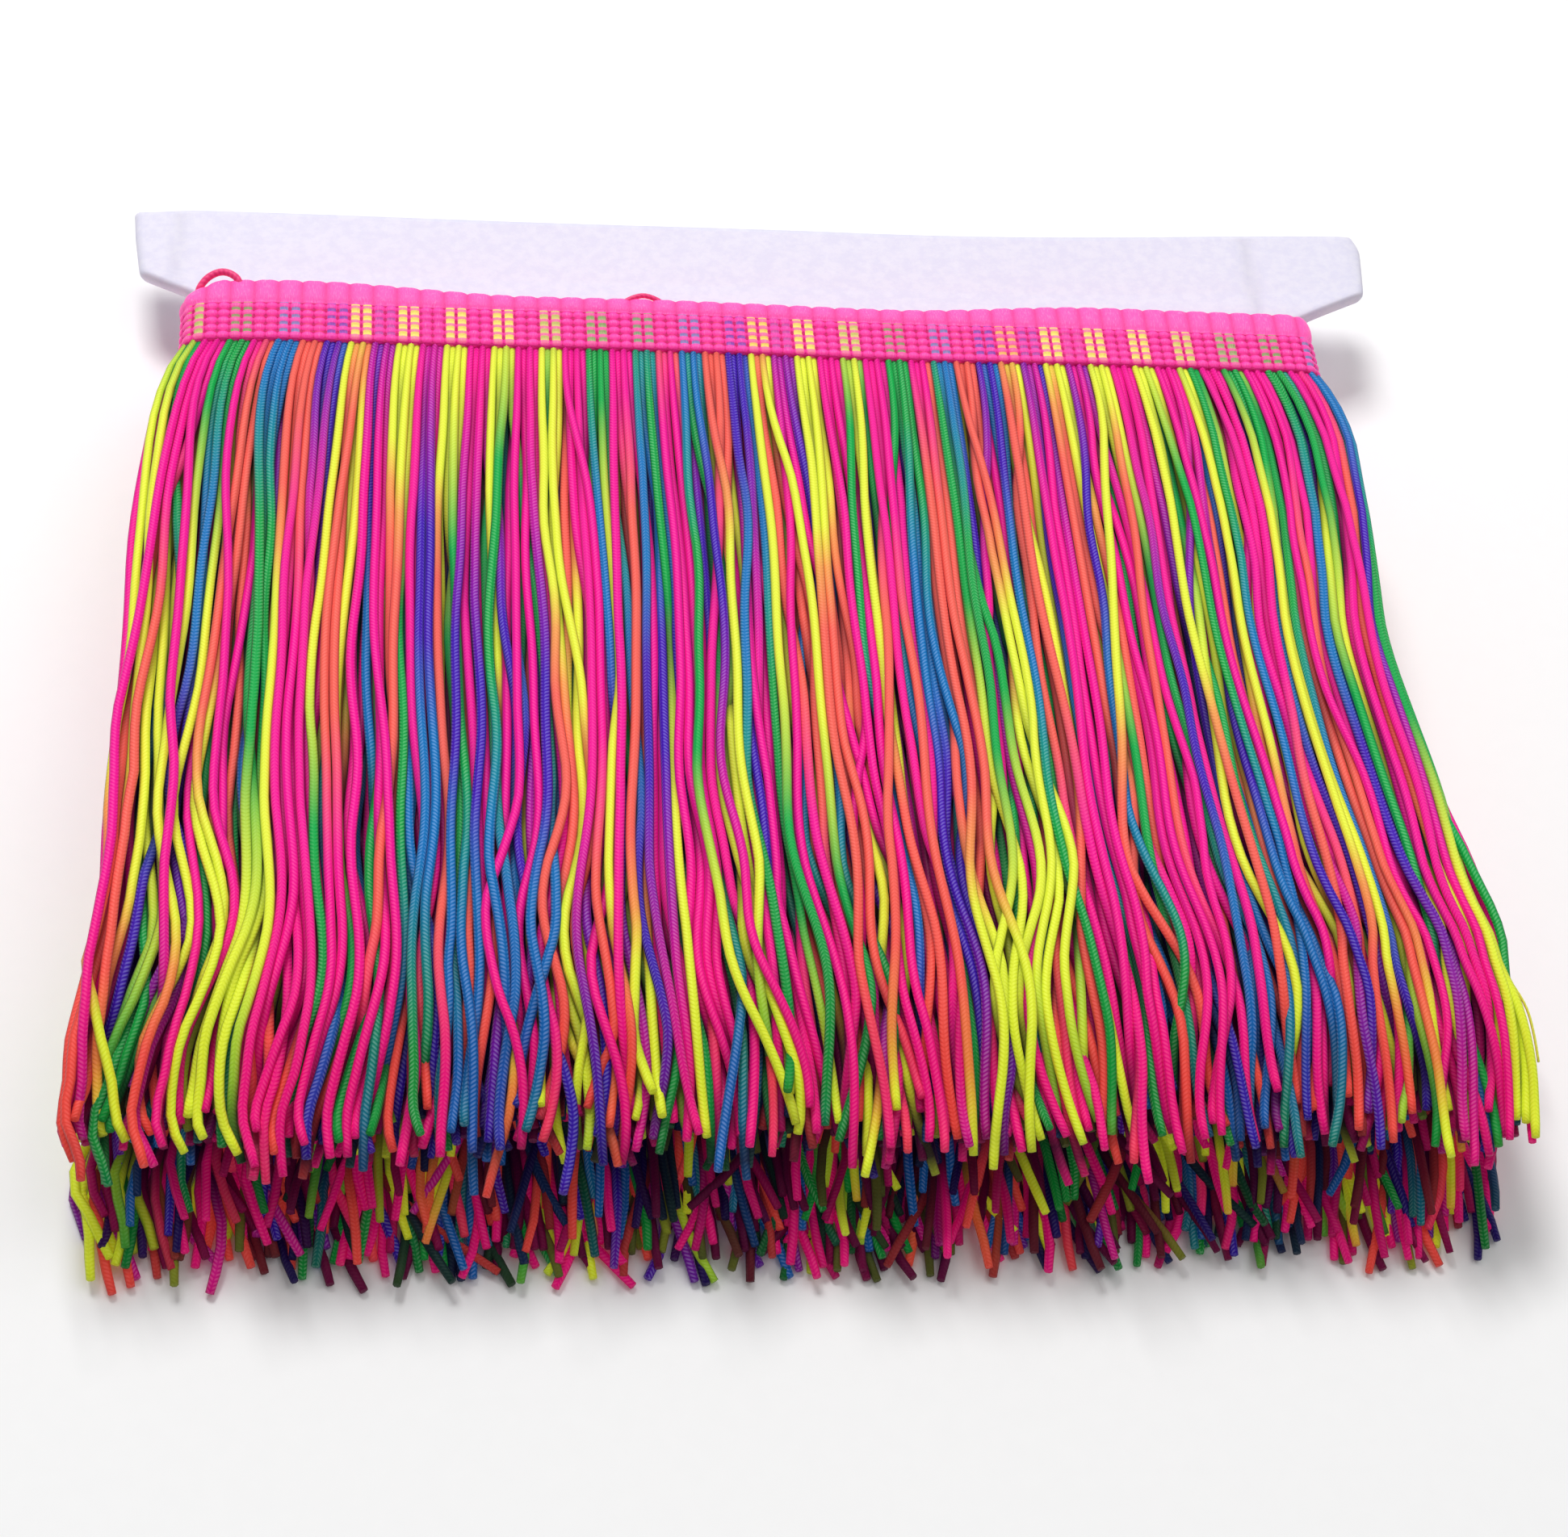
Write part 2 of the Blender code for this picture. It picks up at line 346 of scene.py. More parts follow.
def cord_finish(settings):
    """Knitted satin cord: the dye's repeat, and two slanted rows of stitches on each side.

    It has painted shade in the grooves between its stitches and a painted highlight on their
    crowns. It is painted darker at its edges as the camera sees them, and where other cords lie
    over it (painted shade), and it has a painted glow. Towards the tips its colour is multiplied
    by itself, a painted stand-in for light that reaches it there from the cords around it.
    """
    finish = Finish("space_dyed_cord", Specular_IOR_Level=0.15, Sheen_Weight=0.03,
                    Emission_Strength=PAINTED_NEON_GLOW)
    dye = finish.number("dye").fract()
    shade = finish.ramp(dye_stops(settings), dye)
    # Painted reflected light: below the mount the colour is multiplied by itself, most towards the tips.
    down = finish.node("ShaderNodeSeparateXYZ", None, {0: finish.spot()}, 1) * -1.0
    painted_bounce = ((down - PAINTED_BOUNCE_FROM) / PAINTED_BOUNCE_OVER).limited()
    shade = finish.mix(painted_bounce * 0.55, shade, shade, "MULTIPLY")
    # How strong the painted groove shade and crown highlight are, by dye: strongest from green to purple.
    faint, strong = (0.07,) * 3, (0.20,) * 3
    painted_stitch_light_stops = ((0.0, faint), (0.60, faint), (0.64, strong), (0.88, strong), (0.94, faint))
    painted_stitch_light = finish.ramp(painted_stitch_light_stops, dye)
    place, along, around = finish.surface_place("lie")
    slant = abs((around * 2.0).fract() - 0.5) * 2.0
    stitch = (along / STITCH_PITCH + slant * 1.1).fract()
    crown = (stitch * math.pi).sine()
    groove = abs(slant - 0.5) * 2.0
    height = crown ** 0.8 * (1.0 - groove ** 4.0 * 0.75)
    fuzz = finish.noise(finish.stretched(place, (9000.0, 30.0, 1.0)), 1.0)
    painted_shade_black = (0.004, 0.0, 0.012, 1.0)
    # Painted shade in the grooves between the stitches.
    toned = finish.mix((1.0 - height) ** 1.5 * (painted_stitch_light * 1.5 + 0.03), shade, painted_shade_black)
    # Painted highlight on the stitches' crowns.
    painted_highlight = finish.mix(0.5, shade, opaque((1.0, 1.0, 1.0)))
    toned = finish.mix((height ** 4.0) * painted_stitch_light, toned, painted_highlight)
    # Painted shade: darker where the surface turns away from the camera, at the cord's edges.
    edge = finish.node("ShaderNodeLayerWeight", None, {"Blend": 0.5}, "Facing")
    toned = finish.mix(edge ** 2.0 * 0.5, toned, painted_shade_black)
    # Painted shade where other cords hide the cord, and painted light on some lower tips.
    open_air = finish.number("open_air")
    coloured = finish.mix(open_air, painted_shade_black, toned)
    # Painted glow: the emission lights the cord itself, dimmed where painted shade falls.
    painted_glow = finish.mix(open_air ** 2.0, painted_shade_black, toned)
    bump = finish.relief(height + fuzz * 0.2, 0.00008, 0.4)
    return finish.wear(
        Base_Color=coloured, Emission_Color=painted_glow, Normal=bump, Roughness=0.42 + fuzz * 0.2)


def heading_finish(settings):
    """Pink warp over coloured weft: the weft shows as dashes between the rows of chain stitches.

    The chain stitches and the selvage's bumps have painted shade between them and a painted
    highlight on top, and the heading has a painted glow.
    """
    # The emission is a painted glow in the heading's own colour.
    finish = Finish("woven_heading_yarn", Specular_IOR_Level=0.3, Sheen_Weight=0.08,
                    Emission_Strength=PAINTED_NEON_GLOW)
    dye = finish.number("dye").fract()
    bar = finish.number("bar")
    weft = finish.ramp(dye_stops(settings), dye)
    place, column, across = finish.surface_place("weave")
    beside = abs((column.fract() - 0.5) * 2.0)
    lobe = abs((column * math.pi).sine())
    bulge = abs((column * (math.pi / 2)).sine())
    row = (across - FIRST_ROW) / ROW_PITCH
    off_row = abs((row + 0.5).fract() - 0.5)
    almond = (1.0 - (off_row / (lobe * 0.20 + 0.30)) ** 2.0).at_least(0.0)
    body = ((across - SELVAGE_WIDTH) / 0.0002).limited()
    in_gap = ((off_row - 0.46 + bar * 0.25) / 0.07).limited() * body
    in_gap = in_gap * ((HEADING_WIDTH - 0.0006 - across) / 0.0002).limited()
    dash = ((0.76 - beside) / 0.14).limited()
    fuzz = finish.noise(finish.stretched(place, (9.0, 900.0, 1.0)), 1.0, 3.0, 0.6)
    streak = ((fuzz - 0.5) * 5.0).limited()
    # Painted shade and painted highlight colours for the chain stitches and the selvage's bumps.
    shadow = (0.50, 0.0, 0.11, 1.0)
    painted_highlight_pink = (1.0, 0.30, 0.64, 1.0)
    # Painted shade at the joints between the chain stitches.
    joint = (1.0 - lobe) ** 4.0 * 0.6
    chain = finish.mix((1.0 - almond) ** 2.0 * 0.8 + joint, opaque(settings.heading_pink), shadow)
    chain = finish.mix(almond ** 1.5 * lobe * (streak * 0.45 + 0.14), chain, painted_highlight_pink)
    ridge = finish.mix((1.0 - bulge) ** 2.0 * 0.42, opaque(settings.selvage_pink), shadow)
    ridge = finish.mix(bulge * (streak * 0.5 + 0.06), ridge, painted_highlight_pink)
    chain = finish.mix(almond * dash * bar * 0.16, chain, weft)
    pink = finish.mix(body, ridge, chain)
    weft = finish.mix((bar - 0.55) * 0.5 + streak * 0.22, weft, (1.0, 0.42, 0.36, 1.0))
    coloured = finish.mix(in_gap * dash * bar, pink, weft)
    bump = finish.relief(fuzz, 0.0003, 0.6)
    return finish.wear(
        Base_Color=coloured, Emission_Color=coloured, Normal=bump, Roughness=0.40 + fuzz * 0.25)


def board_finish(settings):
    """Soft white foam board: faintly mottled, with small closed cells and a few scuffs."""
    finish = Finish("white_foam_board", Specular_IOR_Level=0.3)
    spot = finish.spot()
    cloud = finish.noise(spot, 480.0, 4.0, 0.65)
    cells = finish.node("ShaderNodeTexVoronoi", {"feature": "F1"}, {"Vector": spot, "Scale": 700.0})
    grain = finish.noise(spot, 420.0, 3.0, 0.65)
    white = opaque(settings.board_white)
    cool = opaque(np.multiply(white[:3], (0.955, 0.955, 0.98)))
    warm = opaque(np.multiply(white[:3], (1.02, 1.02, 1.0)))
    blotch = ((cloud - 0.40) * 5.0).limited()
    tone = finish.mix(blotch, cool, warm)
    speck = ((grain - 0.55) * 5.0).limited()
    tone = finish.mix(speck * 0.12, tone, (0.95, 0.95, 1.0, 1.0))
    crease = finish.number("crease")
    # Painted shade along the creases and over the curled right end.
    tone = finish.mix(crease * 0.22, tone, (0.45, 0.44, 0.52, 1.0))
    bump = finish.relief(cells * 0.4 + grain, 0.00008, 0.4)
    return finish.wear(Base_Color=tone, Normal=bump, Roughness=0.52 + grain * 0.2)


def plain_yarn_finish(name, colour):
    """Plain dyed yarn with a fine twist, painted lighter on its ridges and darker in its grooves."""
    finish = Finish(name, Roughness=0.5, Sheen_Weight=0.3)
    place, along, around = finish.surface_place("lie")
    twist = (((along / 0.0009 + around * 2.0) * (2 * math.pi)).sine() + 1.0) * 0.5
    # Painted highlight on the twist's ridges and painted shade in its grooves.
    painted_highlight = tuple(min(1.0, part * 1.08 + 0.01) for part in colour[:3])
    dark = tuple(part * 0.88 for part in colour[:3])
    tone = finish.mix(twist, opaque(dark), opaque(painted_highlight))
    return finish.wear(Base_Color=tone, Normal=finish.relief(twist, 0.00006, 0.5))


def floor_finish():
    """Pale matt paper with a very faint tooth."""
    finish = Finish("pale_paper_floor", Roughness=0.9)
    tooth = finish.noise(finish.spot(), 300.0)
    tone = finish.mix(tooth, (0.95, 0.95, 0.95, 1.0), (0.975, 0.975, 0.975, 1.0))
    return finish.wear(Base_Color=tone)


# Meshes


def put_object(name, data):
    """A new object in the scene, at the origin."""
    made = bpy.data.objects.new(name, data)
    bpy.context.scene.collection.objects.link(made)
    return made


def put_mesh(name, material, points, quads, triangles=None, corner_map=None, numbers=None):
    """Puts whole arrays of points and faces into a new piece.

    corner_map is (map name, one pair for each face corner), quads first, and numbers is a
    dictionary of one number for each point. Quads are shaded smooth, and triangles flat.
    """
    triangles = np.zeros((0, 3), int) if triangles is None else triangles
    corners = np.concatenate([quads.ravel(), triangles.ravel()])
    sizes = np.concatenate([np.full(len(quads), 4), np.full(len(triangles), 3)])
    starts = np.concatenate([[0], np.cumsum(sizes)[:-1]])
    mesh = bpy.data.meshes.new(name)
    mesh.vertices.add(len(points))
    mesh.vertices.foreach_set("co", np.asarray(points, np.float32).ravel())
    mesh.loops.add(len(corners))
    mesh.loops.foreach_set("vertex_index", corners.astype(np.int32))
    mesh.polygons.add(len(sizes))
    mesh.polygons.foreach_set("loop_start", starts.astype(np.int32))
    mesh.polygons.foreach_set("use_smooth", sizes == 4)
    if corner_map is not None:
        layer = mesh.uv_layers.new(name=corner_map[0])
        layer.data.foreach_set("uv", np.asarray(corner_map[1], np.float32).ravel())
    for key, values in (numbers or {}).items():
        attribute = mesh.attributes.new(key, "FLOAT", "POINT")
        attribute.data.foreach_set("value", np.asarray(values, np.float32).ravel())
    mesh.update(calc_edges=True)
    if mesh.validate():
        raise RuntimeError(name + ": the mesh had to be mended")
    mesh.materials.append(material)
    piece = put_object(name, mesh)
    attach(piece, "root")
    return piece


def closed_grid_faces(rows, columns, first=0):
    """Quads of a grid that is closed round its columns, facing away from the rows' own turn."""
    row, column = np.meshgrid(np.arange(rows - 1), np.arange(columns), indexing="ij")
    after = (column + 1) % columns
    corners = np.stack(
        [row * columns + column, (row + 1) * columns + column,
         (row + 1) * columns + after, row * columns + after], axis=-1)
    return corners.reshape(-1, 4) + first


def end_fans(rows, columns):
    """Triangles that close both ends of such a grid, round two points stored after it."""
    side = np.arange(columns)
    after = (side + 1) % columns
    last = (rows - 1) * columns
    middle = rows * columns
    root = np.stack([side, after, np.full(columns, middle)], -1)
    tip = np.stack([last + after, last + side, np.full(columns, middle + 1)], -1)
    return np.concatenate([root, tip])


def unit(vectors):
    return vectors / np.linalg.norm(vectors, axis=-1, keepdims=True)


def tubes(name, material, paths, radii, sides, numbers=None, map_start=(0.0, 0.0)):
    """Round cords along paths, joined in one piece.

    A point of a cord is its path's point, plus its radius times cosine of the angle along a
    level sideways direction, plus radius times sine of the angle along the direction square
    to that and to the path. Both ends are closed by a fan round a middle point. The map holds
    the length along the cord and the turn round it, each from the cord's own start.
    """
    cords, rings = paths.shape[:2]
    along = unit(np.gradient(paths, axis=1))
    sideways = unit(np.cross(along, (0.0, 0.0, 1.0)))
    lift = np.cross(sideways, along)
    angle = 2 * np.pi * np.arange(sides) / sides
    around = (np.cos(angle)[:, None] * sideways[:, :, None, :]
              + np.sin(angle)[:, None] * lift[:, :, None, :])
    walls = paths[:, :, None, :] + radii[:, :, None, None] * around
    poles = np.stack([paths[:, 0] - along[:, 0] * POLE_OUT, paths[:, -1] + along[:, -1] * POLE_OUT], 1)
    points = np.concatenate([walls.reshape(cords, -1, 3), poles], axis=1)
    each = rings * sides + 2
    first = (np.arange(cords) * each)[:, None, None]
    quads = closed_grid_faces(rings, sides)[None] + first
    triangles = end_fans(rings, sides)[None] + first
    length = np.linalg.norm(np.diff(paths, axis=1), axis=-1)
    length = np.concatenate([np.zeros((cords, 1)), np.cumsum(length, axis=1)], 1) + map_start[0]
    side = np.arange(sides)
    ring, turn = (part.ravel() for part in np.meshgrid(np.arange(rings - 1), side, indexing="ij"))
    quad_u = length[:, np.stack([ring, ring + 1, ring + 1, ring], -1)]
    quad_v = np.stack([turn, turn, turn + 1, turn + 1], -1) / sides
    turn_start = np.reshape(map_start[1], (-1, 1, 1))
    quad_map = np.stack([quad_u, np.broadcast_to(quad_v + turn_start, quad_u.shape)], -1).reshape(-1, 2)
    fan_u = np.repeat(length[:, [0, -1]], sides, axis=1)[:, :, None]
    fan_v = np.tile(np.stack([side, side + 1, side + 0.5], -1) / sides, (2, 1)) + turn_start
    shape = (cords, 2 * sides, 3)
    fan_map = np.stack([np.broadcast_to(fan_u, shape), np.broadcast_to(fan_v, shape)], -1).reshape(-1, 2)
    stored = {}
    for key, values in (numbers or {}).items():
        body = np.repeat(values, sides, axis=1)
        stored[key] = np.concatenate([body, values[:, :1], values[:, -1:]], axis=1)
    return put_mesh(
        name, material, points.reshape(-1, 3), quads.reshape(-1, 4), triangles.reshape(-1, 3),
        ("lie", np.concatenate([quad_map, fan_map])), stored)


def smooth_through(points, shares):
    """Smooth curves through rows of control points, at shares of the rows' lengths.

    Between two control points the curve is the cubic that meets both, with a slope at each
    that is half the step between that point's neighbours.
    """
    rows, count = points.shape[:2]
    place = np.clip(shares, 0, 1) * (count - 1)
    before = np.minimum(place.astype(int), count - 2)
    t = (place - before)[:, :, None]
    row = np.arange(rows)[:, None]
    one, two, three, four = (points[row, np.clip(before + step, 0, count - 1)] for step in (-1, 0, 1, 2))
    return (one * ((2 - t) * t - 1) * t + two * (t * t * (3 * t - 5) + 2)
            + three * ((4 - 3 * t) * t + 1) * t + four * (t - 1) * t * t) / 2


def ease(value, low, high):
    """0 below low, 1 above high, and a smooth rise between them."""
    share = np.clip((value - low) / (high - low), 0, 1)
    return share * share * (3 - 2 * share)


# The winding


def squared_arc(angle, radius, power):
    """Points, in X and Z, of a round end that is squarer than a circle.

    Their distances from the centre along X and Z, as shares of the radius and each raised to
    the power, add up to 1.
    """
    cos, sin = np.cos(np.radians(angle)), np.sin(np.radians(angle))
    reach = radius / (np.abs(cos) ** power + np.abs(sin) ** power) ** (1 / power)
    return reach * cos, reach * sin


class Winding:
    """The middle line of the wound tape, by length from its start at the board.

    Each turn is a level run to the right at the turn's radius above the centre, a squared arc
    down round the right end, a run back below, and a squared arc round the left end whose
    radius grows by one pitch. The last turn stops part of the way round the left end. The upper
    part of each end is pulled outwards, most of all on the outer turn, as the tape was folded
    there. The outward direction is square to the line's own slope.
    """

    def __init__(self):
        share = np.linspace(0, 1, ARC_SAMPLES)
        parts = [np.array([[-END_CENTRE_X], [FIRST_RADIUS]])]
        for turn in range(TURNS):
            radius = FIRST_RADIUS + turn * TURN_PITCH
            power = 2 + (END_SQUARENESS - 2) * turn / (TURNS - 1)
            last = turn == TURNS - 1
            x, z = squared_arc(90 - 180 * share, radius, power)
            parts.append(np.stack([x + END_CENTRE_X, z]))
            left = -90 - (LOOSE_END_ANGLE if last else 180) * share
            x, z = squared_arc(left, radius + (0 if last else TURN_PITCH) * share, power)
            parts.append(np.stack([x - END_CENTRE_X, z]))
        self.x, self.z = np.concatenate(parts, axis=1)
        pull_right, pull_left = (ease(facing * self.x, *PULLED_ENDS) for facing in (1, -1))
        upper = ease(self.z, *PULLED_HEIGHT)
        self.x += upper * (PULL_RIGHT * pull_right - PULL_LEFT * pull_left)
        run_x, run_z = np.gradient(self.x), np.gradient(self.z)
        self.out_x, self.out_z = -run_z / np.hypot(run_x, run_z), run_x / np.hypot(run_x, run_z)
        steps = np.hypot(np.diff(self.x), np.diff(self.z))
        self.length = np.concatenate([[0], np.cumsum(steps)])
        self.starts = self.length[:: 2 * ARC_SAMPLES]
        self.end = self.length[-1]
        self.top_start = self.starts[TURNS - 1]

    def at(self, length):
        """Places and outward directions, in X and Z, the places from the roll's centre."""
        x, z, out_x, out_z = (
            np.interp(length, self.length, part) for part in (self.x, self.z, self.out_x, self.out_z))
        size = np.hypot(out_x, out_z)
        return x, z, out_x / size, out_z / size

    def groups_along(self, length):
        """Each length in weft groups. The groups are numbered from the outer turn's left end."""
        return (length - self.top_start - END_CENTRE_X) / GROUP_PITCH + MIDDLE_GROUP

    def length_of(self, group):
        """The length at the middle of a weft group."""
        return (group + 0.5 - MIDDLE_GROUP) * GROUP_PITCH + self.top_start + END_CENTRE_X


def group_dye(group):
    """The place in the dye's repeat of a weft group, from the chart of the two yarns.

    The tape's repeat is not quite a whole number of groups, so the place drifts a little.
    """
    chart = np.array(YARN_CHART)
    repeats, place = np.divmod(np.asarray(group).astype(int), 2 * chart.shape[1])
    return chart[place % 2, place // 2] + repeats - DYE_DRIFT * group


def half_ellipse(place):
    """The height of a half circle at each place from -1 to 1, and 0 outside."""
    return np.sqrt(np.clip(1 - place**2, 0, 1))


def weave_relief(groups, across):
    """How far the weave stands off the tape's face.

    The selvage is half an ellipse across its width, cut into rounded columns. Below it are
    five rows of chain stitches, each an almond as long as a column, and the weft lies between
    them as thin dashes.
    """
    chain_height, dash_height, dash_width, edge_width = 0.00052, 0.00016, 0.13, 0.0004
    middle = np.abs(np.sin(2 * np.pi * groups))
    bulge = np.abs(np.sin(np.pi * groups))
    selvage = half_ellipse((across - SELVAGE_WIDTH / 2) / (SELVAGE_WIDTH / 2))
    selvage = selvage * (0.00038 + 0.00034 * bulge + 0.00008 * middle)
    row = (across - FIRST_ROW) / ROW_PITCH
    off_row = (row + 0.5) % 1 - 0.5
    almond = half_ellipse(off_row / (0.20 + 0.28 * middle**0.7)) * (0.3 + 0.7 * middle**0.5)
    off_gap = np.abs((row % 1) - 0.5)
    dash = half_ellipse(off_gap / dash_width) * middle**0.4
    chain = np.maximum(chain_height * almond, dash_height * dash)
    edge = np.clip((HEADING_WIDTH - across) / edge_width, 0, 1) ** 0.5
    return np.where(across < SELVAGE_WIDTH, selvage, chain * edge)


def tape_shell(winding, lengths, face_across, first):
    """One length of the tape as a closed shell: points, faces, weave map and numbers.

    A point is the winding's point at its length, moved across the tape along Y, and along the
    outward direction by the face's height and relief, or by the back's depth. The finished edge
    is scalloped, dips in the middle of the roll and at its left fold, and wobbles a little.
    """
    back_across = HEADING_WIDTH * np.array([1.0, 0.66, 0.33, 0.0])
    across = np.concatenate([face_across, back_across])
    is_face = np.arange(len(across)) < len(face_across)
    along, side = np.meshgrid(lengths, across, indexing="ij")
    groups = winding.groups_along(along)
    relief = weave_relief(groups, side)
    height = np.where(is_face, FACE_HEIGHT + relief, -BACK_DEPTH)
    x, z, out_x, out_z = (part[:, None] for part in winding.at(lengths))
    middle = np.abs(np.sin(2 * np.pi * groups))
    bulge = np.abs(np.sin(np.pi * groups))
    scallop = (0.00040 * bulge**0.6 + 0.0001 * middle) * np.exp(-side / 0.0007)
    middle_dip, fold_dip = 0.0019, 0.0024
    dip = middle_dip * ease(x, -0.078, -0.040) * (1 - ease(x, 0.022, 0.060))
    dip = dip + fold_dip * ease(-x, 0.0925, 0.0995)
    scallop = scallop - dip * np.clip(1 - side / SELVAGE_WIDTH, 0, 1)
    wobble = 0.00022 * np.sin(along / 0.031) + 0.00016 * np.sin(along / 0.0113 + 1.0)
    y = FINISHED_EDGE_Y - side + scallop + wobble
    points = np.stack([x + out_x * height, y, np.maximum(HALF_THICKNESS + z + out_z * height, 0)], -1)
    poles = np.array([points[0].mean(0), points[-1].mean(0)])
    quads = closed_grid_faces(*along.shape, first)[:, ::-1]
    fans = end_fans(*along.shape)[:, [1, 0, 2]] + first
    dye = group_dye(np.floor(groups))
    inside = ease(HALF_LENGTH - np.abs(x), 0.0008, 0.0036)
    numbers = {"dye": dye, "bar": bar_strength(dye) * inside, "weave_u": 2 * groups, "weave_v": side}
    numbers = {key: np.append(values.ravel(), [0, 0]) for key, values in numbers.items()}
    return np.concatenate([points.reshape(-1, 3), poles]), quads, fans, numbers


def bar_strength(dye):
    """How strongly the weft shows between the chains: yellow most, dark colours thinly."""
    place = dye % 1
    yellow = ease(place, 0.39, 0.42) * (1 - ease(place, 0.61, 0.65))
    dark = ease(place, 0.62, 0.66) * (1 - ease(place, 0.90, 0.97))
    return 0.95 * yellow + 0.62 * dark + 0.25


def tape_lengths(start, end, spacing):
    """Lengths from start to end, evenly about one spacing apart."""
    return np.linspace(start, end, max(2, round((end - start) / spacing)))


def make_heading(settings):
    """The woven tape: its outer turn in full relief, and the hidden turns more plainly."""
    spacing, fine_spacing = 0.0005, 0.00031
    winding = Winding()
    fine = np.concatenate([
        [0.0, 0.00012, 0.0004, 0.0009, 0.0015, 0.0021, 0.0027, 0.0033, 0.0039, 0.0044],
        np.arange(SELVAGE_WIDTH + 0.00005, HEADING_WIDTH - 0.0001, 0.000265),
        [HEADING_WIDTH]])
    plain = np.array([0.0, 0.0004, 0.0022, 0.0046, HEADING_WIDTH])
    front_start = winding.top_start - 0.03
    front_end = winding.top_start + 2 * END_CENTRE_X + 0.032
    stretches = (
        (tape_lengths(0.0, front_start, spacing), plain),
        (tape_lengths(front_start, front_end, fine_spacing), fine),
        (tape_lengths(front_end, winding.end, spacing), fine[::3]),
    )
    first = 0
    shells = []
    for lengths, face_across in stretches:
        shell = tape_shell(winding, lengths, face_across, first)
        shells.append(shell)
        first += len(shell[0])
    points, quads, fans = (np.concatenate([shell[part] for shell in shells]) for part in range(3))
    numbers = {key: np.concatenate([shell[3][key] for shell in shells]) for key in shells[0][3]}
    corners = np.concatenate([quads.ravel(), fans.ravel()])
    weave = np.stack([numbers.pop("weave_u")[corners], numbers.pop("weave_v")[corners]], -1)
    piece = put_mesh("woven_heading", heading_finish(settings), points, quads, fans,
                     ("weave", weave), numbers)
    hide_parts("heading_tape")


# The cords


def cord_roots(winding):
    """Each cord's length along the tape and its weft group: two pairs of cords to a group."""
    first, last = np.floor(winding.groups_along(np.array([0.003, winding.end - 0.003])))
    group = np.repeat(np.arange(first, last + 1), 4)
    offset = np.tile([-1.46, -0.50, 0.50, 1.46], len(group) // 4) * 0.001
    length = winding.length_of(group) + offset
    member = np.arange(len(group)) % 4
    spare = (member - group) % 4 % 2 == 0
    hidden = spare & (length < winding.starts[HIDDEN_TURNS])
    keep = (length > 0.002) & (length < winding.end - 0.001) & ~hidden
    return length[keep], group[keep], member[keep]


def shared_waves(rng, keys, share, amplitude, slowest, fastest):
    """Sideways waves that cords with the same key share.

    Each is a sum of three sines along the cord, with a random rate and start for each key.
    """
    unique, which = np.unique(keys, return_inverse=True)
    total = np.zeros(share.shape)
    for strength in (1.0, 0.6, 0.35):
        rate = rng.uniform(slowest, fastest, len(unique))[which]
        start = rng.uniform(0, 2 * np.pi, len(unique))[which]
        size = rng.normal(0, amplitude * strength, len(unique))[which]
        swing = np.sin(2 * np.pi * rate[:, None] * share + start[:, None]) - np.sin(start)[:, None]
        total += size[:, None] * swing
    return total


def kinked(rng, share, bend, step):
    """Sideways drift of cords that run straight between a few random bends.

    The slope is the running sum of the bends and the drift the running sum of the slope, less
    most of the straight line to its end. The bends are sharper towards the tips.
    """
    bends = rng.normal(0, bend, share.shape) * (rng.random(share.shape) < 0.17)
    bends *= 1 + 2.4 * ease(share, 0.55, 0.92)
    drift = np.cumsum(np.cumsum(bends, axis=1), axis=1) * step
    return drift - 0.75 * share * drift[:, -1:]


def settle_apart(x, z, radius, freedom, neck, walls, rounds):
    """Moves cords apart until few of them overlap, and keeps them on the floor.

    Each ring holds the cords' places at one distance below the heading, and past a cord's tip
    its radius is negative, so that nothing touches it there. At each ring the cords are put in
    order of x. Each is compared with the next ones in that order, and a pair that is closer
    than its two radii is pushed apart along the line between them. Every cord also sinks a
    little each round. The moves are smoothed along the cords, the roots stay where they are,
    and no cord leaves the pile's own spread or enters the board's neck.
    """
    compared, push_share, longest_move, sinking = 34, 0.42, 0.0004, 0.000012
    start_x, start_z = x.copy(), z.copy()
    for _ in range(rounds):
        order = np.argsort(x, axis=0)
        sx, sz, sr = (np.take_along_axis(part, order, 0) for part in (x, z, radius))
        push_x, push_z = np.zeros_like(sx), np.zeros_like(sz)
        for ahead in range(1, compared):
            dx = sx[ahead:] - sx[:-ahead]
            dz = sz[ahead:] - sz[:-ahead]
            reach = sr[ahead:] + sr[:-ahead]
            apart = np.sqrt(dx * dx + dz * dz) + 1e-9
            overlap = np.clip(reach - apart, 0, None) * push_share / apart
            push_x[ahead:] += overlap * dx
            push_x[:-ahead] -= overlap * dx
            push_z[ahead:] += overlap * dz
            push_z[:-ahead] -= overlap * dz
        move_x, move_z = np.zeros_like(x), np.zeros_like(z)
        np.put_along_axis(move_x, order, np.clip(push_x, -longest_move, longest_move), 0)
        np.put_along_axis(move_z, order, np.clip(push_z, -longest_move, longest_move) - sinking, 0)
        x = x + move_x * freedom
        z = z + move_z * freedom
        drift_x, drift_z = x - start_x, z - start_z
        for drift in (drift_x, drift_z):
            middle = (drift[:, :-2] + 2 * drift[:, 1:-1] + drift[:, 2:]) / 4
            drift[:, 1:-1] += 0.5 * (middle - drift[:, 1:-1])
        x, z = start_x + drift_x, start_z + drift_z
        off_neck = z - HALF_THICKNESS
        clear = BOARD_HALF + radius
        z = np.where(neck & (np.abs(off_neck) < clear), HALF_THICKNESS + np.sign(off_neck) * clear, z)
        z = np.maximum(z, radius)
        x = np.clip(x, walls[0] + radius, walls[1] - radius)
    return x, z


